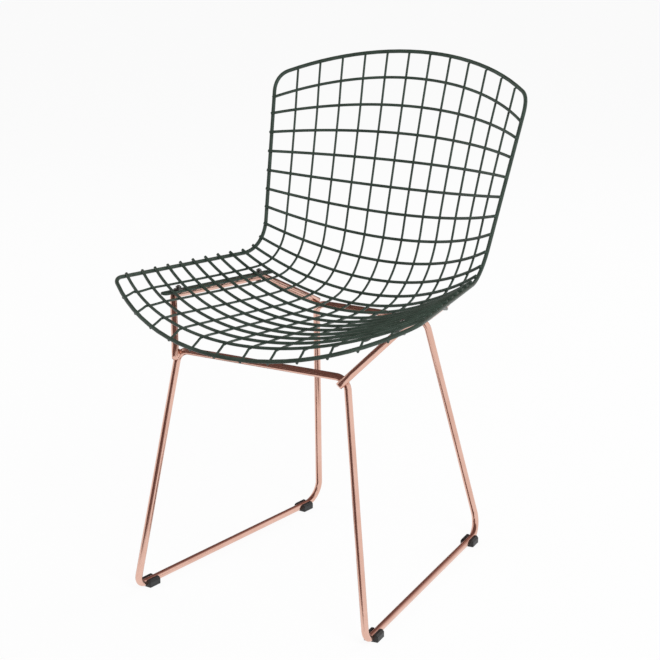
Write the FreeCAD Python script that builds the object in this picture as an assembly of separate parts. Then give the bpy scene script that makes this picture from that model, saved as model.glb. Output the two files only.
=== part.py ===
import FreeCAD, Part
import math
import os
from FreeCAD import Vector

# Welded wire mesh chair on a bent rod frame. Millimetres, +Z up, the front faces -Y.
# The origin is on the floor, under the middle of the chair.
os.makedirs("parts", exist_ok=True)

# Stock sizes
FRAME_ROD = 10.0  # diameter of the leg frame and the seat supports
RIM_ROD = 6.0
CROSS_WIRE = 4.6
LENGTH_WIRE = 3.6
RAIL_WIRE = 4.0
MESH_SIDES = 6  # rods and wires are made with flat sides, to keep the faces few
RIM_SIDES = 10
FRAME_SIDES = 12
SMALL_SIDES = 16  # shanks and washers
FACET_TURN = 15.0  # degrees a rod turns from one face to the next
WELD_SINK = 0.4  # how far welded wires press into each other

# Main sizes, between the middles of rods
BACK_HEIGHT = 758.2  # top of the shell, at the middle
SEAT_WIDTH = 504.4  # across the front corners of the rim
BACK_WIDTH = 440.2  # across its top corners
WAIST_WIDTH = 380.8  # where the back meets the seat
SEAT_CORNER_HEIGHT = 467.6
WAIST_HEIGHT = 453.5
BACK_CORNER_DROP = 43.8  # from the top of the bowed back to its corners
FRONT_STANCE = 393.0  # between the floor runners, at the front
REAR_STANCE = 298.4
RUNNER_HEIGHT = 7.5

# Side profile of the shell on the middle plane, as (y, z), with bend radii
PROFILE = ((280.1, BACK_HEIGHT), (169.8, 395.3), (30.0, 389.9), (-216.8, 413.0), (-266.0, 415.5))
PROFILE_BENDS = (124.0, 403.0, 200.0)

# Corners of the right-hand side of the rim
RIM_TOP_CORNER = Vector(BACK_WIDTH / 2.0, 203.6, BACK_HEIGHT - BACK_CORNER_DROP)
RIM_SEAT_CORNER = Vector(WAIST_WIDTH / 2.0, 117.0, WAIST_HEIGHT)
RIM_FRONT_CORNER = Vector(SEAT_WIDTH / 2.0, -196.8, SEAT_CORNER_HEIGHT)
RIM_FRONT_MIDDLE = (-283.5, 405.4)
RIM_TOP_BEND = 37.0
RIM_SEAT_BEND = 60.0
RIM_FRONT_BEND = 21.0

# Mesh layout
LENGTH_WIRES = 12
CROSS_WIRES = 20
OUTER_WIRE_SHARE = 0.842  # outermost lengthwise wire, as a share of the way to the rim
FIRST_ROW_MIDDLE = 37.0  # first cross wire below the top of the shell
FIRST_ROW_SIDE = 29.6
PITCH_MIDDLE = ((1, 45.1), (4, 43.5), (7, 38.3), (9, 34.0), (10.5, 38.0), (12, 42.4), (15, 38.1), (19, 36.3))
PITCH_SIDE = ((1, 26.9), (2, 31.1), (4, 31.7), (7, 27.8), (8, 25.1), (9, 22.5), (11, 28.7), (18, 26.6), (19, 32.5))
CROSS_OVERHANG = 1.5  # cross wire ends beyond the rim
LIP_BEND = 9.0
LIP_SLOPE = 50.0  # degrees below level, where a lengthwise wire turns down over the rim
LIP_DROP = 11.0
LIP_OVERHANG = 5.0

# Leg frame, right-hand half
FRONT_TOP = Vector(140.8, -197.5, 375.0)
FRONT_LOW = Vector(FRONT_STANCE / 2.0, -240.4, RUNNER_HEIGHT)
REAR_LOW = Vector(REAR_STANCE / 2.0, 218.4, RUNNER_HEIGHT)
REAR_TOP = Vector(97.2, 122.7, 376.0)
FRAME_TOP_BEND = 20.0
FRONT_LOW_BEND = 15.0
REAR_LOW_BEND = 28.0

# Seat support, right-hand side
SUPPORT_FRONT_FOOT = Vector(136.0, -213.4, 366.7)
SUPPORT_FRONT_BEND = Vector(190.8, -136.6, 436.6)
SUPPORT_REAR_BEND = Vector(161.7, 66.0, 424.3)
SUPPORT_REAR_FOOT = Vector(97.0, 130.3, 377.3)
SUPPORT_BEND = 13.0

# Mounting rail: a closed hairpin of wire that straddles the seat support
RAIL_SPREAD = 10.6  # between its two wires
RAIL_START = -17.0  # ahead of the front bend of the support
RAIL_END = 13.0
BOLT_PLACES = (0.053, 0.955)  # along the straight run of the support

# M5 bolts through the supports, with large washers over the rail wires
BOLT_SHANK = 5.0
BOLT_BORE = 5.4
BOLT_HEAD = 3.5
BOLT_FLATS = 8.0
BOLT_TIP = 1.5  # shank beyond the nut
WASHER_WIDE = 15.0
WASHER_THICK = 1.0
NUT_FLATS = 8.0
NUT_THICK = 4.0

# Glides on the floor runners
GLIDE_LONG = 22.0
GLIDE_WIDE = 22.0
GLIDE_HIGH = 12.0
GLIDE_SHOULDER = 8.5  # height of the outer faces, below the sloping shoulders
GLIDE_TOP_WIDE = 17.0
GLIDE_EDGE = 0.8  # bevel of the lower edges
GLIDE_MOUTH = 8.6  # a little narrower than the rod, so that the glide clips on
GLIDE_CLEAR = 0.1  # round the rod
GLIDE_PLACES = (0.064, 0.906)  # along the runner


def unit(v):
    return v * (1.0 / v.Length)


def ramp(knots, x):
    """Value at x of straight lines through the knots."""
    for (x0, v0), (x1, v1) in zip(knots, knots[1:]):
        if x <= x1:
            return v0 + (v1 - v0) * max(x - x0, 0.0) / (x1 - x0)
    return knots[-1][1]


def save(name, shape):
    shape.exportStep(f"parts/{name}.step")


def mirrored(shape):
    return shape.mirror(Vector(0, 0, 0), Vector(1, 0, 0))


def joined(solids):
    """One solid of pieces that meet face to face."""
    whole = solids[0].multiFuse(solids[1:]).removeSplitter()
    return whole.Solids[0]


def bent_path(points, radii):
    """Edges of a line through the points, its inner corners rounded."""
    edges = []
    start = points[0]
    for before, corner, after, radius in zip(points, points[1:], points[2:], radii):
        a = unit(before - corner)
        b = unit(after - corner)
        half = a.getAngle(b) / 2.0
        reach = radius / math.tan(half)
        middle = corner + unit(a + b) * (radius / math.sin(half) - radius)
        first = corner + a * reach
        last = corner + b * reach
        if (first - start).Length > 1e-6:
            edges.append(Part.makeLine(start, first))
        edges.append(Part.Arc(first, middle, last).toShape())
        start = last
    edges.append(Part.makeLine(start, points[-1]))
    return edges


def stations(edges):
    """Points and directions along the edges, close enough together for a wire with few faces."""
    found = []
    for edge in edges:
        ends = [edge.FirstParameter, edge.LastParameter]
        if isinstance(edge.Curve, Part.BSplineCurve):
            ends = edge.Curve.getKnots()
        for first, last in zip(ends, ends[1:]):
            turn = math.degrees(edge.tangentAt(first).getAngle(edge.tangentAt(last)))
            steps = max(1, math.ceil(turn / FACET_TURN))
            for step in range(steps):
                p = first + (last - first) * step / steps
                found.append((edge.valueAt(p), edge.tangentAt(p)))
    found.append((edge.valueAt(edge.LastParameter), edge.tangentAt(edge.LastParameter)))
    return found


def flat_wire(places, diameter, sides, facing):
    """Solid wire with flats, as heavy as a round one, through the places; one flat starts out facing the given way."""
    flat = diameter / 2.0 * math.sqrt(math.pi / sides / math.tan(math.pi / sides))
    corner = flat / math.cos(math.pi / sides)
    turns = [math.pi / sides * (2 * k + 1) for k in range(sides)]
    sections = []
    for centre, along in places:
        facing = unit(facing - along * facing.dot(along))
        beside = along.cross(facing)
        points = [centre + facing * (corner * math.cos(t)) + beside * (corner * math.sin(t)) for t in turns]
        sections.append(Part.makePolygon(points + points[:1]))
    return Part.makeLoft(sections, True, True)


class Path:
    """Edges in a row, with points found by their distance along it."""

    def __init__(self, edges):
        self.edges = edges

    def at(self, distance):
        for edge in self.edges:
            if distance <= edge.Length:
                return edge.valueAt(edge.getParameterByLength(distance))
            distance -= edge.Length
        return edge.valueAt(edge.LastParameter)


class Bow:
    """Arc across the chair, from rim to rim through a point of the middle plane."""

    def __init__(self, middle, side):
        rise = Vector(0, side.y, side.z) - middle
        self.side = side.x
        self.inward = unit(rise)
        self.radius = (side.x**2 + rise.Length**2) / (2.0 * rise.Length)
        self.centre = middle + self.inward * self.radius
        self.half_angle = math.asin(side.x / self.radius)

    def at(self, angle, lift):
        """Point at an angle from the middle, lifted towards the sitter."""
        r = self.radius - lift
        return self.centre + Vector(r * math.sin(angle), 0, 0) - self.inward * (r * math.cos(angle))

    def along(self, angle):
        return Vector(math.cos(angle), 0, 0) + self.inward * math.sin(angle)

    def towards_sitter(self, angle):
        return self.inward * math.cos(angle) - Vector(math.sin(angle), 0, 0)

    def wire_angle(self, index):
        """Angle of a lengthwise wire."""
        share = 2.0 * index / (LENGTH_WIRES - 1) - 1.0
        return share * OUTER_WIRE_SHARE * self.half_angle


# The shell's bows: the top of the rim, every cross wire and the front of the rim
CROSS_LIFT = (RIM_ROD + CROSS_WIRE) / 2.0 - WELD_SINK
LENGTH_LIFT = CROSS_LIFT - (CROSS_WIRE + LENGTH_WIRE) / 2.0 + WELD_SINK
LENGTH_ON_RIM = (RIM_ROD + LENGTH_WIRE) / 2.0 - WELD_SINK
RIM_SET_BACK = LENGTH_LIFT - LENGTH_ON_RIM

profile_points = [Vector(0, y, z) for y, z in PROFILE]
profile = Path(bent_path(profile_points, PROFILE_BENDS))
rim_side = Path(bent_path([RIM_TOP_CORNER, RIM_SEAT_CORNER, RIM_FRONT_CORNER], [RIM_SEAT_BEND]))
top_bow = Bow(profile_points[0], RIM_TOP_CORNER)
front_bow = Bow(Vector(0, *RIM_FRONT_MIDDLE), RIM_FRONT_CORNER)


def cross_bows():
    middle = FIRST_ROW_MIDDLE
    side = FIRST_ROW_SIDE
    bows = []
    for row in range(CROSS_WIRES):
        if row:
            middle += ramp(PITCH_MIDDLE, row)
            side += ramp(PITCH_SIDE, row)
        bows.append(Bow(profile.at(middle), rim_side.at(side)))
    return bows


bows = cross_bows()


def cross_wire(bow):
    """Bent to its bow and laid over the rim at both ends."""
    end = bow.half_angle + (RIM_ROD / 2.0 + CROSS_OVERHANG) / bow.radius
    angles = [-end] + [bow.wire_angle(index) for index in range(LENGTH_WIRES)] + [end]
    places = [(bow.at(angle, CROSS_LIFT), bow.along(angle)) for angle in angles]
    return flat_wire(places, CROSS_WIRE, MESH_SIDES, bow.towards_sitter(-end))


def lengthwise_axis(index):
    """Edges of a lengthwise wire's axis, from the top of the rim, under the cross wires and over the front."""
    points = [top_bow.at(top_bow.wire_angle(index), LENGTH_LIFT)]
    points += [bow.at(bow.wire_angle(index), LENGTH_LIFT) for bow in bows]
    angle = front_bow.wire_angle(index)
    rim = front_bow.at(angle, 0.0)
    up = front_bow.towards_sitter(angle)
    forward = up.cross(front_bow.along(angle))
    slope = math.radians(LIP_SLOPE)
    down = forward * math.cos(slope) - up * math.sin(slope)
    beside = rim + (forward * math.sin(slope) + up * math.cos(slope)) * LENGTH_ON_RIM
    turn = beside - down * LIP_DROP
    end = beside + down * LIP_OVERHANG
    spline = Part.BSplineCurve()
    start_way = unit(points[1] - points[0])
    end_way = unit(turn - points[-1])
    spline.interpolate(Points=points, InitialTangent=start_way, FinalTangent=end_way)
    return [spline.toShape()] + bent_path([points[-1], turn, end], [LIP_BEND])


def lengthwise_wire(index):
    facing = top_bow.towards_sitter(top_bow.wire_angle(index))
    return flat_wire(stations(lengthwise_axis(index)), LENGTH_WIRE, MESH_SIDES, facing)


def bend_between(start, start_way, end, end_way, radius):
    """Smooth corner between two ends that need not lie in one plane."""
    handle = 4.0 / 3.0 * math.tan(start_way.getAngle(end_way) / 4.0) * radius
    curve = Part.BezierCurve()
    curve.setPoles([start, start + start_way * handle, end - end_way * handle, end])
    return curve.toShape()


def rim():
    """One closed rod: bowed top and front, straight sides, bent where the back meets the seat."""
    down = unit(RIM_SEAT_CORNER - RIM_TOP_CORNER)
    ahead = unit(RIM_FRONT_CORNER - RIM_SEAT_CORNER)
    top_turn = top_bow.along(top_bow.half_angle).getAngle(down)
    front_end = front_bow.along(front_bow.half_angle) * -1.0
    front_turn = ahead.getAngle(front_end)
    top_reach = RIM_TOP_BEND * math.tan(top_turn / 2.0)
    front_reach = RIM_FRONT_BEND * math.tan(front_turn / 2.0)
    top_angle = top_bow.half_angle - top_reach / top_bow.radius
    front_angle = front_bow.half_angle - front_reach / front_bow.radius
    top = [top_bow.at(a, RIM_SET_BACK) for a in (0.0, top_angle / 2.0, top_angle)]
    front = [front_bow.at(a, 0.0) for a in (front_angle, front_angle / 2.0, 0.0)]
    side_start = RIM_TOP_CORNER + down * top_reach
    side_end = RIM_FRONT_CORNER - ahead * front_reach
    side = bent_path([side_start, RIM_SEAT_CORNER, side_end], [RIM_SEAT_BEND])
    half = [Part.Arc(*top).toShape()]
    half.append(bend_between(top[2], top_bow.along(top_angle), side_start, down, RIM_TOP_BEND))
    half += side
    half.append(bend_between(side_end, ahead, front[0], front_bow.along(front_angle) * -1.0, RIM_FRONT_BEND))
    half.append(Part.Arc(*front).toShape())
    right = flat_wire(stations(half), RIM_ROD, RIM_SIDES, Vector(0, 0, 1))
    return joined([right, mirrored(right)])


def frame_axis():
    """Right-hand half of the leg frame: front cross rod, leg, floor runner, leg and rear cross rod."""
    front = Vector(0, FRONT_TOP.y, FRONT_TOP.z)
    rear = Vector(0, REAR_TOP.y, REAR_TOP.z)
    bends = (FRAME_TOP_BEND, FRONT_LOW_BEND, REAR_LOW_BEND, FRAME_TOP_BEND)
    return bent_path([front, FRONT_TOP, FRONT_LOW, REAR_LOW, REAR_TOP, rear], bends)


def support_axis():
    corners = [SUPPORT_FRONT_FOOT, SUPPORT_FRONT_BEND, SUPPORT_REAR_BEND, SUPPORT_REAR_FOOT]
    return bent_path(corners, (SUPPORT_BEND, SUPPORT_BEND))


# Directions on the straight run of the seat support
run = SUPPORT_REAR_BEND - SUPPORT_FRONT_BEND
run_way = unit(run)
run_beside = unit(run_way.cross(Vector(0, 0, 1)))
run_up = run_beside.cross(run_way)
RAIL_RISE = math.sqrt(((FRAME_ROD + RAIL_WIRE) / 2.0) ** 2 - (RAIL_SPREAD / 2.0) ** 2)


def on_run(share, up=0.0):
    return SUPPORT_FRONT_BEND + run * share + run_up * up


def rail_axis(start, end, side):
    """Half of the hairpin: from its middle round one end, wire centres on the rod's shoulders."""
    reach = RAIL_SPREAD / 2.0
    middle = on_run(0.5, RAIL_RISE)
    way = unit(end - start)
    first = middle + side * reach
    turn = end + side * reach
    tip = end + way * reach
    back = end - side * reach
    edges = [Part.makeLine(first, turn), Part.Arc(turn, tip, back).toShape()]
    return edges + [Part.makeLine(back, middle - side * reach)]


def rail():
    front = on_run(0.0, RAIL_RISE) + run_way * RAIL_START
    rear = on_run(1.0, RAIL_RISE) + run_way * RAIL_END
    halves = [rail_axis(rear, front, run_beside), rail_axis(front, rear, run_beside * -1.0)]
    return joined([flat_wire(stations(half), RAIL_WIRE, MESH_SIDES, run_up) for half in halves])


def drilled_support():
    rod = flat_wire(stations(support_axis()), FRAME_ROD, FRAME_SIDES, run_up)
    for share in BOLT_PLACES:
        rod = rod.cut(prism(BOLT_BORE, SMALL_SIDES, 2.0 * FRAME_ROD, on_run(share, -FRAME_ROD)))
    return rod.Solids[0]


def prism(across_flats, sides, height, base):
    """Upright prism on the bolt line of the run."""
    corner = across_flats / 2.0 / math.cos(math.pi / sides)
    turns = [2.0 * math.pi * k / sides for k in range(sides + 1)]
    points = [base + run_way * (corner * math.cos(t)) + run_beside * (corner * math.sin(t)) for t in turns]
    return Part.Face(Part.makePolygon(points[:-1] + points[:1])).extrude(run_up * height)


SEAT_UP = RAIL_RISE + RAIL_WIRE / 2.0  # top of the rail wires above the run's axis


def bolt(share):
    """Hexagon head under the rod, shank up between the rail wires."""
    head = prism(BOLT_FLATS, 6, BOLT_HEAD, on_run(share, -FRAME_ROD / 2.0 - BOLT_HEAD))
    length = FRAME_ROD / 2.0 + SEAT_UP + WASHER_THICK + NUT_THICK + BOLT_TIP
    shank = prism(BOLT_SHANK, SMALL_SIDES, length, on_run(share, -FRAME_ROD / 2.0))
    return joined([head, shank])


def washer(share):
    base = on_run(share, SEAT_UP)
    disc = prism(WASHER_WIDE, SMALL_SIDES, WASHER_THICK, base)
    return disc.cut(prism(BOLT_BORE, SMALL_SIDES, WASHER_THICK, base))


def nut(share):
    base = on_run(share, SEAT_UP + WASHER_THICK)
    return prism(NUT_FLATS, 6, NUT_THICK, base).cut(prism(BOLT_SHANK, SMALL_SIDES, NUT_THICK, base))


def both_sides(make):
    """The same fastener at every bolt place of both supports."""
    right = [make(share) for share in BOLT_PLACES]
    return Part.Compound(right + [mirrored(piece) for piece in right])


def glide(place):
    """Plastic saddle clipped round a floor runner, with sloping shoulders."""
    way = unit(REAR_LOW - FRONT_LOW)
    beside = way.cross(Vector(0, 0, 1))
    half = GLIDE_WIDE / 2.0
    outline = [(half - GLIDE_EDGE, 0.0), (half, GLIDE_EDGE), (half, GLIDE_SHOULDER), (GLIDE_TOP_WIDE / 2.0, GLIDE_HIGH)]
    outline += [(-x, z) for x, z in reversed(outline)]
    centre = FRONT_LOW + (REAR_LOW - FRONT_LOW) * place
    foot = Vector(centre.x, centre.y, 0.0) - way * (GLIDE_LONG / 2.0)
    points = [foot + beside * x + Vector(0, 0, z) for x, z in outline]
    block = Part.Face(Part.makePolygon(points + points[:1])).extrude(way * GLIDE_LONG)
    axis = Vector(foot.x, foot.y, FRONT_LOW.z) - way
    channel = Part.makeCylinder(FRAME_ROD / 2.0 + GLIDE_CLEAR, GLIDE_LONG + 2.0, axis, way)
    mouth_corner = axis - beside * (GLIDE_MOUTH / 2.0)
    corners = [
        mouth_corner,
        mouth_corner + beside * GLIDE_MOUTH,
        mouth_corner + beside * GLIDE_MOUTH + Vector(0, 0, GLIDE_HIGH),
        mouth_corner + Vector(0, 0, GLIDE_HIGH),
    ]
    mouth = Part.Face(Part.makePolygon(corners + corners[:1])).extrude(way * (GLIDE_LONG + 2.0))
    return block.cut(channel).cut(mouth)


save("rim", rim())
for row, bow in enumerate(bows):
    save(f"cross_wire_{row + 1:02d}", cross_wire(bow))
for index in range(LENGTH_WIRES):
    save(f"length_wire_{index + 1:02d}", lengthwise_wire(index))

sides = {"right": lambda shape: shape, "left": mirrored}
frame_half = flat_wire(stations(frame_axis()), FRAME_ROD, FRAME_SIDES, Vector(0, 0, 1))
support = drilled_support()
hairpin = rail()
for side, placed in sides.items():
    save(f"leg_frame_{side}", placed(frame_half))
    save(f"seat_support_{side}", placed(support))
    save(f"mounting_rail_{side}", placed(hairpin))
    save(f"glide_front_{side}", placed(glide(GLIDE_PLACES[0])))
    save(f"glide_rear_{side}", placed(glide(GLIDE_PLACES[1])))

save("bolts", both_sides(bolt))
save("washers", both_sides(washer))
save("nuts", both_sides(nut))
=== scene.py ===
import math

import bmesh
import bpy
import numpy as np
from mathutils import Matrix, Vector
from mathutils.geometry import interpolate_bezier


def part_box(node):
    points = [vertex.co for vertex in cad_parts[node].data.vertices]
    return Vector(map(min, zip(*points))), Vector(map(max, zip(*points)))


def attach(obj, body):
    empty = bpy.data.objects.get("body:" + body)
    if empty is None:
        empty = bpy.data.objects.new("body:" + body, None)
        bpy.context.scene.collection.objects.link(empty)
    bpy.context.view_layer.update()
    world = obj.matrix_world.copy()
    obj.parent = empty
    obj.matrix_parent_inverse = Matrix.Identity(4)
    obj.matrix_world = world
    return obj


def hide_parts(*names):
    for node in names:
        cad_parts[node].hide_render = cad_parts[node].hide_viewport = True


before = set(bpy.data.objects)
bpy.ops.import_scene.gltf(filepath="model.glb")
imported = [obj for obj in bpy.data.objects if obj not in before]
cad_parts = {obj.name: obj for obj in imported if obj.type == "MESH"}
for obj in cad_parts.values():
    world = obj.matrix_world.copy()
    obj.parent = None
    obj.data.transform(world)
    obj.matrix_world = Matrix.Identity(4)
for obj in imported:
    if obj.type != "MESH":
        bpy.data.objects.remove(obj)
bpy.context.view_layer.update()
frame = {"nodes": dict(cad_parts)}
nodes = frame["nodes"]

# Rim: one rod bent right round the shell, butt welded into a loop and powder coated green. Its bowed
# top and front and its two straight sides carry the ends of every mesh wire. It is redrawn round,
# along the middle of the flat-sided rod of the solid model, as every rod below is.
RIM_ROD = 0.006
RIM_FACETS = 20
RIM_SIDES = 10  # of the rod in the solid model
CUT_ROUNDING = 0.0005  # how far the tumbled edge of a cut end reaches
CUT_WIDTH = 0.72  # diameter of the flat of a cut end, as a share of the rod's
STEPS_PER_BEND = 4
SAME_POINT = 1e-5  # corners nearer to each other than this are one
MIDDLE_PULL = 50.0  # what a metre off the middle plane costs in the search for a rod's start


class Nodes:
    """The nodes of one tree, all of them added by node()."""

    def __init__(self, tree):
        self.tree = tree

    def node(self, kind, settings=None, sockets=None, out=0):
        made = self.tree.nodes.new(kind)
        for key, value in (settings or {}).items():
            setattr(made, key, value)
        for key, value in (sockets or {}).items():
            if isinstance(value, Socket):
                self.tree.links.new(value.output, made.inputs[key])
            else:
                made.inputs[key].default_value = value
        return Socket(self, made.outputs[out]) if made.outputs else made


class Socket:
    """A node's output that takes part in sums and products."""

    def __init__(self, nodes, output):
        self.nodes = nodes
        self.output = output

    def maths(self, operation, *others, clamp=False):
        sockets = dict(enumerate((self, *others)))
        settings = {"operation": operation, "use_clamp": clamp}
        return self.nodes.node("ShaderNodeMath", settings, sockets)

    def __add__(self, other):
        return self.maths("ADD", other)

    def __sub__(self, other):
        return self.maths("SUBTRACT", other)

    def __mul__(self, other):
        return self.maths("MULTIPLY", other)

    def __rsub__(self, other):
        return self.maths("MULTIPLY", -1.0) + other

    def above(self, low, high):
        """0 up to low, 1 from high on, and a straight rise between."""
        return (self - low).maths("DIVIDE", high - low, clamp=True)


def open_tree(name, kinds):
    """A new Geometry Nodes tree with named inputs, and a socket for each of them."""
    tree = bpy.data.node_groups.new(name, "GeometryNodeTree")
    for key, kind in kinds.items():
        tree.interface.new_socket(key, in_out="INPUT", socket_type="NodeSocket" + kind)
    tree.interface.new_socket("Piece", in_out="OUTPUT", socket_type="NodeSocketGeometry")
    made = Nodes(tree)
    given = tree.nodes.new("NodeGroupInput")
    return made, {key: Socket(made, given.outputs[key]) for key in kinds}


def close_tree(made, shape, finish):
    """Smooth shading, real faces and the finish, at the end of a tree."""
    smooth = made.node("GeometryNodeSetShadeSmooth", sockets={"Geometry": shape})
    real = made.node("GeometryNodeRealizeInstances", sockets={"Geometry": smooth})
    painted = made.node("GeometryNodeSetMaterial", sockets={"Geometry": real, "Material": finish})
    made.node("NodeGroupOutput", sockets={"Piece": painted})
    return made.tree


def made_by(tree, data, name, values):
    """The plain mesh piece that a tree makes of a curve or mesh."""
    blank = bpy.data.objects.new(name + "_blank", data)
    bpy.context.scene.collection.objects.link(blank)
    modifier = blank.modifiers.new(tree.name, "NODES")
    modifier.node_group = tree
    for item in tree.interface.items_tree:
        if item.name in values:
            modifier[item.identifier] = values[item.name]
    bpy.context.view_layer.update()
    seen = blank.evaluated_get(bpy.context.evaluated_depsgraph_get())
    mesh = bpy.data.meshes.new_from_object(seen)
    bpy.data.objects.remove(blank)
    piece = bpy.data.objects.new(name, mesh)
    bpy.context.scene.collection.objects.link(piece)
    return piece


def round_rod_tree():
    """Sweeps a circle along a bent line; the line's radius narrows it."""
    kinds = {"Line": "Geometry", "Diameter": "Float", "Facets": "Int", "Finish": "Material"}
    made, given = open_tree("round_rod", kinds)
    size = {"Resolution": given["Facets"], "Radius": given["Diameter"] * 0.5}
    circle = made.node("GeometryNodeCurvePrimitiveCircle", sockets=size)
    narrowing = made.node("GeometryNodeInputRadius")
    sweep = {"Curve": given["Line"], "Profile Curve": circle, "Scale": narrowing, "Fill Caps": True}
    rod = made.node("GeometryNodeCurveToMesh", sockets=sweep)
    return close_tree(made, rod, given["Finish"])


rod_tree = round_rod_tree()


def section_rings(node, sides, start, side_only=False):
    """Middles and directions of a rod's rings of corners, in order from the ring nearest to start."""
    rod = bmesh.new()
    rod.from_mesh(node.data)
    bmesh.ops.remove_doubles(rod, verts=rod.verts, dist=SAME_POINT)
    tip = min(rod.verts, key=lambda v: (v.co - start).length)
    ring = sorted(rod.verts, key=lambda v: (v.co - tip.co).length)[:sides]
    seen = set()
    found = []
    while len(ring) == sides:
        seen.update(ring)
        corners = np.array([v.co for v in ring])
        middle = corners.mean(axis=0)
        along = Vector(np.linalg.svd(corners - middle)[2][2])
        found.append((Vector(middle), along))
        beyond = {e.other_vert(v) for v in ring for e in v.link_edges} - seen
        ring = [v for v in beyond if not side_only or v.co.x > -SAME_POINT]
    rod.free()
    return pointing_on(found)


def pointing_on(stations):
    """The same stations with every direction pointing down the line."""
    turned = []
    for index, (middle, along) in enumerate(stations):
        before = stations[max(index - 1, 0)][0]
        after = stations[min(index + 1, len(stations) - 1)][0]
        turned.append((middle, along if along.dot(after - before) > 0 else -along))
    return turned


def with_cut_ends(stations):
    """Two more stations just inside the ends, so that the ends alone narrow to the cut's flat."""
    (first, out), (last, on) = stations[0], stations[-1]
    inner = [(first + out * CUT_ROUNDING, out)] + stations[1:-1] + [(last - on * CUT_ROUNDING, on)]
    widths = [CUT_WIDTH] + [1.0] * len(inner) + [CUT_WIDTH]
    return [stations[0]] + inner + [stations[-1]], widths


def drawn_rod(name, stations, diameter, facets, finish, ends="cut"):
    """A round rod along the stations. Its ends are cut and tumbled, flush, or closed on each other."""
    widths = [1.0] * len(stations)
    if ends == "cut":
        stations, widths = with_cut_ends(stations)
    closed = ends == "closed"
    line = bpy.data.curves.new(name, "CURVE")
    line.dimensions = "3D"
    line.resolution_u = STEPS_PER_BEND
    spline = line.splines.new("BEZIER")
    spline.bezier_points.add(len(stations) - 1)
    spline.use_cyclic_u = closed
    count = len(stations)
    for index, (point, (middle, along)) in enumerate(zip(spline.bezier_points, stations)):
        before = (middle - stations[index - 1][0]).length if closed or index else 0.0
        goes_on = closed or index < count - 1
        after = (stations[(index + 1) % count][0] - middle).length if goes_on else 0.0
        point.co = middle
        point.handle_left = middle - along * (before / 3.0)
        point.handle_right = middle + along * (after / 3.0)
        point.radius = widths[index]
    values = {"Diameter": diameter, "Facets": facets, "Finish": finish}
    return made_by(rod_tree, line, name, values)


class Finish(Nodes):
    """A material with a Principled shader, whose plain settings are set on its own sockets."""

    def __init__(self, name, plain=None):
        self.material = bpy.data.materials.new(name)
        self.material.use_nodes = True
        super().__init__(self.material.node_tree)
        self.shader = self.tree.nodes["Principled BSDF"]
        for key, value in (plain or {}).items():
            self.shader.inputs[key].default_value = value
        self.place = self.node("ShaderNodeTexCoord", out="Object")

    def noise(self, scale, detail=2.0, stretched=(1.0, 1.0, 1.0)):
        at = self.node("ShaderNodeMapping", sockets={"Vector": self.place, "Scale": stretched})
        sockets = {"Vector": at, "Scale": scale, "Detail": detail}
        return self.node("ShaderNodeTexNoise", sockets=sockets, out="Fac")

    def blend(self, factor, first, second):
        return self.node("ShaderNodeMix", {"data_type": "RGBA"}, {0: factor, 6: first, 7: second}, out=2)

    def bump(self, height, strength, distance):
        sockets = {"Height": height, "Strength": strength, "Distance": distance}
        return self.node("ShaderNodeBump", sockets=sockets)

    def set(self, colour, roughness, normal):
        for key, value in (("Base Color", colour), ("Roughness", roughness), ("Normal", normal)):
            self.tree.links.new(value.output, self.shader.inputs[key])
        return self.material


def powder_coat():
    """Satin dark green powder coat: fine orange peel, cloudy depth and a few dull rubbed specks."""
    coat = Finish("green_powder_coat", {"Specular IOR Level": 0.42})
    cloud = coat.noise(38.0, detail=4.0)
    peel = coat.noise(1500.0, detail=1.0) * 0.7 + coat.noise(420.0) * 0.3
    rubbed = coat.noise(260.0, detail=5.0).above(0.63, 0.75)
    colour = coat.blend(cloud.above(0.35, 0.68), (0.027, 0.045, 0.034, 1.0), (0.042, 0.067, 0.052, 1.0))
    colour = coat.blend(rubbed * 0.2, colour, (0.10, 0.135, 0.112, 1.0))
    roughness = cloud * 0.14 + rubbed * 0.10 + 0.30
    return coat.set(colour, roughness, coat.bump(peel, 0.22, 0.0004))


green = powder_coat()


def end_corner(node, farther):
    """The corner of a rod's node that lies farthest one way."""
    return max((v.co for v in node.data.vertices), key=farther)


top_of_rim = end_corner(nodes["rim"], lambda p: p.z - MIDDLE_PULL * abs(p.x))
right_half = section_rings(nodes["rim"], RIM_SIDES, top_of_rim, side_only=True)
left_half = [
    (Vector((-middle.x, middle.y, middle.z)), Vector((along.x, -along.y, -along.z)))
    for middle, along in right_half[-2:0:-1]
]
rim_line = right_half + left_half
rim = drawn_rod("rim_round", rim_line, RIM_ROD, RIM_FACETS, green, ends="closed")
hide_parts("rim")
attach(rim, "root")

# Wire mesh of the shell: twenty cross wires laid over twelve lengthwise wires, cold drawn steel bent
# on a former. The lengthwise wires run straight down behind the front of the rim and end below it.
CROSS_WIRE = 0.0046
LENGTH_WIRE = 0.0036
WIRE_FACETS = 12
WIRE_SIDES = 6
FINE_STEP = 0.001
WELD_SINK = 0.0004  # how far welded wires press into each other
LIP_BEND = 0.007  # length of the bend past the last cross wire
LIP_OVERHANG = 0.0022
LIP_LEAN = Vector((-0.003, 0.0, 0.0))  # how far the ends lie to the left of straight


def fine_points(stations, closed=False):
    """Points about FINE_STEP apart along a line of stations."""
    ahead = stations[1:] + stations[:1] if closed else stations[1:]
    points = []
    for (a, out), (b, on) in zip(stations, ahead):
        third = (b - a).length / 3.0
        steps = max(2, round((b - a).length / FINE_STEP))
        points += interpolate_bezier(a, a + out * third, b - on * third, b, steps + 1)[:-1]
    return np.array(points + ([] if closed else [stations[-1][0]]))


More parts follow.
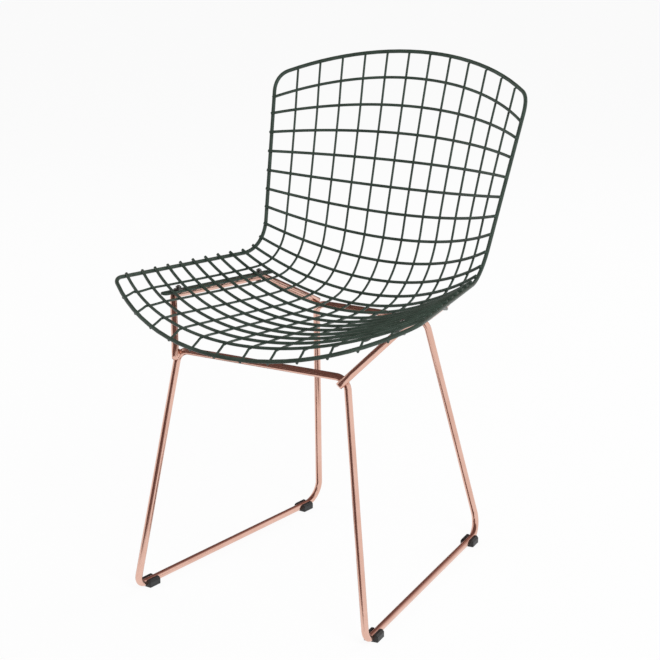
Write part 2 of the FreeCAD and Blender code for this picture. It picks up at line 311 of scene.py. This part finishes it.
def behind_the_rim(line):
    """A lengthwise wire run straight from its last crossing to the back of the rim, and just past it."""
    last_wire = fine_points(cross_lines[-1])
    place = min(range(len(line)), key=lambda k: np.linalg.norm(last_wire - line[k][0], axis=1).min())
    start, along = line[place]
    end = line[-1][0] + LIP_LEAN
    centre = Vector(rim_points[np.linalg.norm(rim_points - end, axis=1).argmin()])
    way = (centre - start).normalized()
    away = (end - centre) - way * way.dot(end - centre)
    sine = ((RIM_ROD + LENGTH_WIRE) / 2.0 - WELD_SINK) / (centre - start).length
    cosine = math.sqrt(1.0 - sine * sine)
    on = way * cosine + away.normalized() * sine
    tip = start + on * ((centre - start).length * cosine + LIP_OVERHANG)
    return line[:place] + [(start, along), (start + on * LIP_BEND, on), (tip, on)]


rim_points = fine_points(rim_line, closed=True)
cross_lines = []
length_lines = []
for name, node in sorted(nodes.items()):
    if name.startswith("cross_wire"):
        line = section_rings(node, WIRE_SIDES, end_corner(node, lambda p: -p.x))
        cross_lines.append(line)
        wire = drawn_rod(name.replace("wire", "wire_round"), line, CROSS_WIRE, WIRE_FACETS, green)
    elif name.startswith("length_wire"):
        top = end_corner(node, lambda p: p.z)
        line = behind_the_rim(section_rings(node, WIRE_SIDES, top))
        length_lines.append(line)
        wire = drawn_rod(name.replace("wire", "wire_round"), line, LENGTH_WIRE, WIRE_FACETS, green)
    else:
        continue
    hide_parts(name)
    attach(wire, "root")

# Leg frame: steel rod, copper plated and lacquered, bent into two sled loops that meet at the
# middle of the front and rear cross rods, where a flush weld joins them. The rod is drawn a shade
# thicker than the solid's 10 mm, as the photograph shows it.
FRAME_ROD = 0.0106
FRAME_FACETS = 28
FRAME_SIDES = 12


def copper_plate():
    """Polished copper plate: pink metal with fine waves, faint clouds and dull specks."""
    plate = Finish("copper_plate", {"Metallic": 1.0})
    cloud = plate.noise(22.0, detail=3.0)
    specks = plate.noise(700.0, detail=3.0).above(0.66, 0.78)
    colour = plate.blend(cloud.above(0.38, 0.66), (0.80, 0.51, 0.42, 1.0), (0.74, 0.45, 0.36, 1.0))
    colour = plate.blend(specks * 0.25, colour, (0.42, 0.20, 0.13, 1.0))
    roughness = cloud * 0.06 + specks * 0.10 + 0.17
    waves = plate.noise(160.0, detail=2.0)
    return plate.set(colour, roughness, plate.bump(waves, 0.04, 0.0006))


copper = copper_plate()
frame_lines = {}
for side in ("left", "right"):
    node = nodes[f"leg_frame_{side}"]
    low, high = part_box(f"leg_frame_{side}")
    inner = low.x if side == "right" else high.x
    start = end_corner(node, lambda p: -p.y - MIDDLE_PULL * abs(p.x - inner))
    line = section_rings(node, FRAME_SIDES, start)
    half = drawn_rod(f"leg_frame_round_{side}", line, FRAME_ROD, FRAME_FACETS, copper, ends="flush")
    frame_lines[side] = line
    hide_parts(f"leg_frame_{side}")
    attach(half, "root")

# Seat supports: a staple of the same rod on each side, brazed to the frame by its two feet. The
# straight run under the mesh is drilled for two bolts.
SUPPORT_CORNERS = (  # of the right-hand one
    (0.1360, -0.2134, 0.3667),
    (0.1908, -0.1366, 0.4366),
    (0.1617, 0.0660, 0.4243),
    (0.0970, 0.1303, 0.3773),
)
SUPPORT_BEND = 0.013


def bent_rod(corners, radius):
    """Stations of a rod through the corners, the inner ones bent to a radius."""
    line = [(corners[0], (corners[1] - corners[0]).normalized())]
    for before, corner, after in zip(corners, corners[1:], corners[2:]):
        back = (before - corner).normalized()
        on = (after - corner).normalized()
        reach = radius / math.tan(back.angle(on) / 2.0)
        middle = corner + (back + on).normalized() * (math.hypot(radius, reach) - radius)
        line.append((corner + back * reach, -back))
        line.append((middle, (on - back).normalized()))
        line.append((corner + on * reach, on))
    return line + [(corners[-1], (corners[-1] - corners[-2]).normalized())]


support_lines = {}
for side, way in (("left", -1.0), ("right", 1.0)):
    corners = [Vector((x * way, y, z)) for x, y, z in SUPPORT_CORNERS]
    line = bent_rod(corners, SUPPORT_BEND)
    support = drawn_rod(f"seat_support_round_{side}", line, FRAME_ROD, FRAME_FACETS, copper)
    support_lines[side] = line
    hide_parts(f"seat_support_{side}")
    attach(support, "root")

# Mounting rails: a closed hairpin of wire welded under the cross wires on each side. It straddles
# the seat support, and the bolts pass between its two wires.
RAIL_WIRE = 0.004
RAIL_SPREAD = 0.0106  # between the middles of its two wires
RAIL_TURN_STEPS = 6


def hairpin(node):
    """Stations round a hairpin, found from the middle and the long and wide ways of its solid."""
    corners = np.array([v.co for v in node.data.vertices])
    middle = corners.mean(axis=0)
    long_way, wide_way, _ = np.linalg.svd(corners - middle, full_matrices=False)[2]
    reach = (corners - middle) @ long_way
    middle = Vector(middle + long_way * (reach.min() + reach.max()) / 2.0)
    half = (reach.max() - reach.min()) / 2.0 - (RAIL_SPREAD + RAIL_WIRE) / 2.0
    long_way, wide_way = Vector(long_way), Vector(wide_way)
    line = []
    for end in (1.0, -1.0):
        for step in range(RAIL_TURN_STEPS + 1):
            turn = math.pi * step / RAIL_TURN_STEPS
            out = (wide_way * math.cos(turn) + long_way * math.sin(turn)) * end
            along = (long_way * math.cos(turn) - wide_way * math.sin(turn)) * end
            line.append((middle + long_way * (half * end) + out * (RAIL_SPREAD / 2.0), along))
    return line


rail_lines = {}
for side in ("left", "right"):
    line = hairpin(nodes[f"mounting_rail_{side}"])
    rail = drawn_rod(f"mounting_rail_round_{side}", line, RAIL_WIRE, WIRE_FACETS, green, ends="closed")
    rail_lines[side] = line
    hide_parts(f"mounting_rail_{side}")
    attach(rail, "root")

# Resistance welds of the shell: the metal squeezed out where two wires were pressed into each
# other, under the powder coat. One at each crossing, on the rim and on the mounting rails.
NUGGET_WIDTH = 0.0050
NUGGET_FLATNESS = 0.55
NUGGET_SEGMENTS = 10
NUGGET_RINGS = 6
WELD_SLACK = 0.0004  # gap that the squeezed metal still fills


def nugget_tree():
    """A flattened bead on each point, lying square to the way its two wires were pressed."""
    kinds = {"Places": "Geometry", "Width": "Float", "Flatness": "Float", "Finish": "Material"}
    made, given = open_tree("weld_nuggets", kinds)
    radius = given["Width"] * 0.5
    size = {"Segments": NUGGET_SEGMENTS, "Rings": NUGGET_RINGS, "Radius": radius}
    ball = made.node("GeometryNodeMeshUVSphere", sockets=size)
    vector = {"data_type": "FLOAT_VECTOR"}
    pressed = made.node("GeometryNodeInputNamedAttribute", vector, {"Name": "pressed"})
    turn = made.node("FunctionNodeAlignRotationToVector", {"axis": "Z"}, {"Vector": pressed})
    flat = made.node("ShaderNodeCombineXYZ", sockets={"X": 1.0, "Y": 1.0, "Z": given["Flatness"]})
    placed = {"Points": given["Places"], "Instance": ball, "Rotation": turn, "Scale": flat}
    beads = made.node("GeometryNodeInstanceOnPoints", sockets=placed)
    return close_tree(made, beads, given["Finish"])


weld_tree = nugget_tree()


def crossing(line, line_size, other, other_size):
    """Where two wires touch and the way they were pressed together, or None where they don't touch."""
    gaps = np.linalg.norm(line[:, None] - other[None], axis=2)
    i, j = np.unravel_index(gaps.argmin(), gaps.shape)
    if gaps[i, j] > (line_size + other_size) / 2.0 + WELD_SLACK:
        return None
    way = other[j] - line[i]
    return line[i] + way * (line_size / (line_size + other_size)), way / gaps[i, j]


def weld_piece(name, welds, width, flatness, finish):
    """One mesh of beads, one at each weld."""
    marks = bpy.data.meshes.new(name)
    marks.from_pydata([w[0] for w in welds], [], [])
    pressed = marks.attributes.new("pressed", "FLOAT_VECTOR", "POINT")
    pressed.data.foreach_set("vector", np.array([w[1] for w in welds], dtype=np.float32).ravel())
    values = {"Width": width, "Flatness": flatness, "Finish": finish}
    beads = made_by(weld_tree, marks, name, values)
    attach(beads, "root")


cross_points = [fine_points(line) for line in cross_lines]
length_points = [fine_points(line) for line in length_lines]
rail_points = [fine_points(line, closed=True) for line in rail_lines.values()]
shell_welds = []
for across in cross_points:
    middle = len(across) // 2
    for half in (across[:middle], across[middle:]):
        shell_welds.append(crossing(half, CROSS_WIRE, rim_points, RIM_ROD))
    shell_welds += [crossing(across, CROSS_WIRE, along, LENGTH_WIRE) for along in length_points]
    for rail_half in (part for rail in rail_points for part in np.array_split(rail, 2)):
        shell_welds.append(crossing(across, CROSS_WIRE, rail_half, RAIL_WIRE))
for along in length_points:
    middle = len(along) // 2
    for half in (along[:middle], along[middle:]):
        shell_welds.append(crossing(half, LENGTH_WIRE, rim_points, RIM_ROD))
shell_welds = [weld for weld in shell_welds if weld]
weld_piece("shell_welds", shell_welds, NUGGET_WIDTH, NUGGET_FLATNESS, green)

# Brazed joints: filler metal drawn into the grooves where the feet of the seat supports lie
# against the leg frame, plated over with it.
FILLET_WIDTH = 0.0080
FILLET_FLATNESS = 0.6
FILLET_REACH = 0.0006  # gap between the rods that the filler still bridges
fillets = []
for side, line in support_lines.items():
    rod = fine_points(line)
    beside = fine_points(frame_lines[side])
    gaps = np.linalg.norm(rod[:, None] - beside[None], axis=2)
    for i in np.flatnonzero(gaps.min(axis=1) < FRAME_ROD + FILLET_REACH):
        j = gaps[i].argmin()
        fillets.append(((rod[i] + beside[j]) / 2.0, (beside[j] - rod[i]) / gaps[i, j]))
weld_piece("brazed_fillets", fillets, FILLET_WIDTH, FILLET_FLATNESS, copper)

# Bolts, washers and nuts: steel in dark passivated zinc. Hexagon heads under the supports, large
# washers over both rail wires and a nut on top.
EDGE_BREAK = 0.0003
SHARP_ANGLE = 32.0  # degrees between faces from which an edge is broken


def zinc_plate():
    """Dark grey metal with a fine spangle and duller clouds."""
    zinc = Finish("zinc_plate", {"Metallic": 1.0})
    spangle = zinc.noise(900.0, detail=3.0)
    cloud = zinc.noise(150.0)
    colour = zinc.blend(spangle, (0.24, 0.25, 0.24, 1.0), (0.38, 0.38, 0.37, 1.0))
    roughness = spangle * 0.12 + cloud * 0.14 + 0.17
    return zinc.set(colour, roughness, zinc.bump(spangle, 0.08, 0.0002))


def edge_broken(node, width, finish):
    """A CAD node with its sharp edges broken, in its finish."""
    weld = node.modifiers.new("joined_corners", "WELD")
    weld.merge_threshold = SAME_POINT
    bevel = node.modifiers.new("broken_edges", "BEVEL")
    bevel.width = width
    bevel.segments = 2
    bevel.limit_method = "ANGLE"
    bevel.angle_limit = math.radians(SHARP_ANGLE)
    node.data.materials.clear()
    node.data.materials.append(finish)


zinc = zinc_plate()
for name in ("bolts", "washers", "nuts"):
    edge_broken(nodes[name], EDGE_BREAK, zinc)

# Glides: moulded black nylon saddles that clip up round the floor runners, with sloping shoulders.
MOULD_ROUNDING = 0.0003


def black_nylon():
    """Black nylon with the fine grain of its mould and slightly rubbed patches."""
    nylon = Finish("black_nylon")
    grain = nylon.noise(1300.0)
    rub = nylon.noise(90.0, detail=4.0)
    worn = rub.above(0.4, 0.75)
    colour = nylon.blend(worn, (0.013, 0.014, 0.014, 1.0), (0.026, 0.027, 0.027, 1.0))
    return nylon.set(colour, grain * 0.12 + 0.42, nylon.bump(grain, 0.15, 0.0003))


nylon = black_nylon()
for place in ("front_left", "front_right", "rear_left", "rear_right"):
    edge_broken(nodes[f"glide_{place}"], MOULD_ROUNDING, nylon)

# Camera: at the photograph's place, looking down on the front and the right-hand side.
CAMERA_PLACE = (1.42538, -2.45789, 1.18823)
CAMERA_DOWN = 0.2785  # radians below level
CAMERA_TURN = 0.5259  # radians from looking straight back
CAMERA_LENS = 107.18  # millimetres, on a sensor 36 mm wide
CAMERA_SENSOR = 36.0
CAMERA_REACH = 60.0
camera_data = bpy.data.cameras.new("camera")
camera_data.lens = CAMERA_LENS
camera_data.sensor_width = CAMERA_SENSOR
camera_data.clip_end = CAMERA_REACH
camera = bpy.data.objects.new("camera", camera_data)
camera.location = CAMERA_PLACE
camera.rotation_euler = (math.pi / 2.0 - CAMERA_DOWN, 0.0, CAMERA_TURN)
bpy.context.scene.collection.objects.link(camera)
bpy.context.scene.camera = camera

# Surround: white to the camera. What the plated rods mirror is a pale floor and walls under a dark
# ceiling, with a dark drape along the front and the open dark room at the back left.
CEILING_BASE = 0.50  # sine of its height above the horizon
CEILING_SOFT = 0.22
DRAPE_MIDDLE = -15.0  # degrees from the front, towards the viewer's right
DRAPE_HALF = 31.0
DRAPE_SOFT = 12.0
ROOM_MIDDLE = -155.0
ROOM_HALF = 10.0
ROOM_SOFT = 45.0
WHITE = (1.0, 1.0, 1.0, 1.0)
DARK_TINT = (1.0, 0.60, 0.54, 1.0)
DARK_LEVEL = 0.16  # brightness of what is dark, where the rest is 1
FILL_LEVEL = 0.45  # brightness for the rays that only light


def towards(azimuth, middle, half, soft):
    """1 within half an angle of a direction, 0 past a soft edge."""
    nearness = (azimuth - math.radians(middle)).maths("COSINE")
    edge, full = (math.cos(math.radians(angle)) for angle in (half + soft, half))
    return nearness.above(edge, full)


def studio_world():
    """Light and reflections of the room, each by its kind of ray."""
    world = bpy.data.worlds.new("studio")
    bpy.context.scene.world = world
    world.use_nodes = True
    world.node_tree.nodes.clear()
    room = Nodes(world.node_tree)
    way = room.node("ShaderNodeTexCoord", out="Generated")
    x, y, z = (room.node("ShaderNodeSeparateXYZ", sockets={0: way}, out=k) for k in range(3))
    azimuth = x.maths("ARCTAN2", y * -1.0)
    ceiling = z.above(CEILING_BASE, CEILING_BASE + CEILING_SOFT)
    drape = towards(azimuth, DRAPE_MIDDLE, DRAPE_HALF, DRAPE_SOFT)
    open_room = towards(azimuth, ROOM_MIDDLE, ROOM_HALF, ROOM_SOFT)
    dark = ceiling.maths("MAXIMUM", drape).maths("MAXIMUM", open_room)
    mirrored = 1.0 - dark * (1.0 - DARK_LEVEL)
    glossy = room.node("ShaderNodeLightPath", out="Is Glossy Ray")
    camera_ray = room.node("ShaderNodeLightPath", out="Is Camera Ray")
    seen = camera_ray.maths("MAXIMUM", room.node("ShaderNodeLightPath", out="Is Transmission Ray"))
    level = seen + (1.0 - seen) * (glossy * mirrored + (1.0 - glossy) * FILL_LEVEL)
    shades = {0: dark * glossy, 6: WHITE, 7: DARK_TINT}
    colour = room.node("ShaderNodeMix", {"data_type": "RGBA"}, shades, out=2)
    background = room.node("ShaderNodeBackground", sockets={"Color": colour, "Strength": level})
    room.node("ShaderNodeOutputWorld", sockets={"Surface": background})


studio_world()

# Floor: pale matt board that comes out white to the camera apart from the chair's soft shadow. A
# wedge of dark cloth runs forward from each foot, and only what shines sees it.
FLOOR_HALF = 12.0
FLOOR_GLOW = 0.93  # share of its own light in what the camera sees of it
DRAPE_LIFT = 0.0005
DRAPES = {  # foot, first and last direction in degrees, nearest and farthest distance from the foot
    "front_left": (-0.1965, -0.2404, -46.0, 16.0, 0.30, 9.0),
    "front_right": (0.1965, -0.2404, -46.0, 16.0, 0.30, 9.0),
    "rear_left": (-0.1492, 0.2184, -44.0, -10.0, 0.02, 0.45),
    "rear_right": (0.1492, 0.2184, -36.0, 0.0, 0.02, 0.42),
}


def floor_finish():
    """Matt board that glows for the camera, with a faint mottle of paper."""
    pale = Finish("pale_floor")
    mottle = pale.noise(14.0, detail=3.0)
    colour = pale.blend(mottle, (0.81, 0.81, 0.81, 1.0), (0.83, 0.83, 0.83, 1.0))
    pale.set(colour, mottle * 0.05 + 0.88, pale.bump(mottle, 0.05, 0.001))
    glow = pale.node("ShaderNodeEmission")
    share = pale.node("ShaderNodeLightPath", out="Is Camera Ray")
    for ray in ("Is Glossy Ray", "Is Transmission Ray"):
        share = share.maths("MAXIMUM", pale.node("ShaderNodeLightPath", out=ray))
    surface = Socket(pale, pale.shader.outputs[0])
    mix = pale.node("ShaderNodeMixShader", sockets={0: share * FLOOR_GLOW, 1: surface, 2: glow})
    pale.tree.links.new(mix.output, pale.tree.nodes["Material Output"].inputs["Surface"])
    return pale.material


def flat_sheet(name, corners, finish):
    """A flat stage piece through its corners."""
    sheet = bpy.data.meshes.new(name)
    sheet.from_pydata(corners, [], [range(len(corners))])
    sheet.materials.append(finish)
    piece = bpy.data.objects.new(name, sheet)
    bpy.context.scene.collection.objects.link(piece)
    return piece


def dark_drape():
    """Dark brown cloth that hardly shines."""
    cloth = Finish("dark_drape", {"Specular IOR Level": 0.1})
    weave = cloth.noise(300.0)
    colour = cloth.blend(weave, (0.155, 0.092, 0.082, 1.0), (0.185, 0.110, 0.098, 1.0))
    return cloth.set(colour, weave * 0.1 + 0.85, cloth.bump(weave, 0.1, 0.001))


square = [(x * FLOOR_HALF, y * FLOOR_HALF, 0.0) for x, y in ((-1, -1), (1, -1), (1, 1), (-1, 1))]
flat_sheet("floor", square, floor_finish())
cloth = dark_drape()
for name, (x, y, first, last, near, far) in DRAPES.items():
    turns = (math.radians(first), math.radians(last))
    rays = [(near, turns[0]), (near, turns[1]), (far, turns[1]), (far, turns[0])]
    corners = [(x + r * math.sin(turn), y - r * math.cos(turn), DRAPE_LIFT) for r, turn in rays]
    drape = flat_sheet(f"drape_{name}", corners, cloth)
    drape.visible_camera = False
    drape.visible_diffuse = False
    drape.visible_shadow = False

# Lamps: a key softbox at the front right, a weaker one far left and one behind, all facing the seat.
LAMPS = {  # place, watts and width
    "key_lamp": ((2.2, -1.6, 2.6), 68.0, 1.6),
    "fill_lamp": ((-3.0, 0.2, 2.0), 26.0, 1.6),
    "back_lamp": ((0.8, 2.6, 2.4), 40.0, 1.8),
}
LAMP_AIM = Vector((0.0, 0.0, 0.4))


def soft_lamp(name, place, watts, size):
    """A square softbox that the plated rods don't mirror."""
    light = bpy.data.lights.new(name, "AREA")
    light.energy = watts
    light.size = size
    light.shape = "SQUARE"
    lamp = bpy.data.objects.new(name, light)
    lamp.location = place
    lamp.rotation_euler = (Vector(place) - LAMP_AIM).to_track_quat("Z", "Y").to_euler()
    lamp.visible_glossy = False
    bpy.context.scene.collection.objects.link(lamp)


for name, (place, watts, size) in LAMPS.items():
    soft_lamp(name, place, watts, size)

bpy.context.scene.view_settings.view_transform = "Standard"
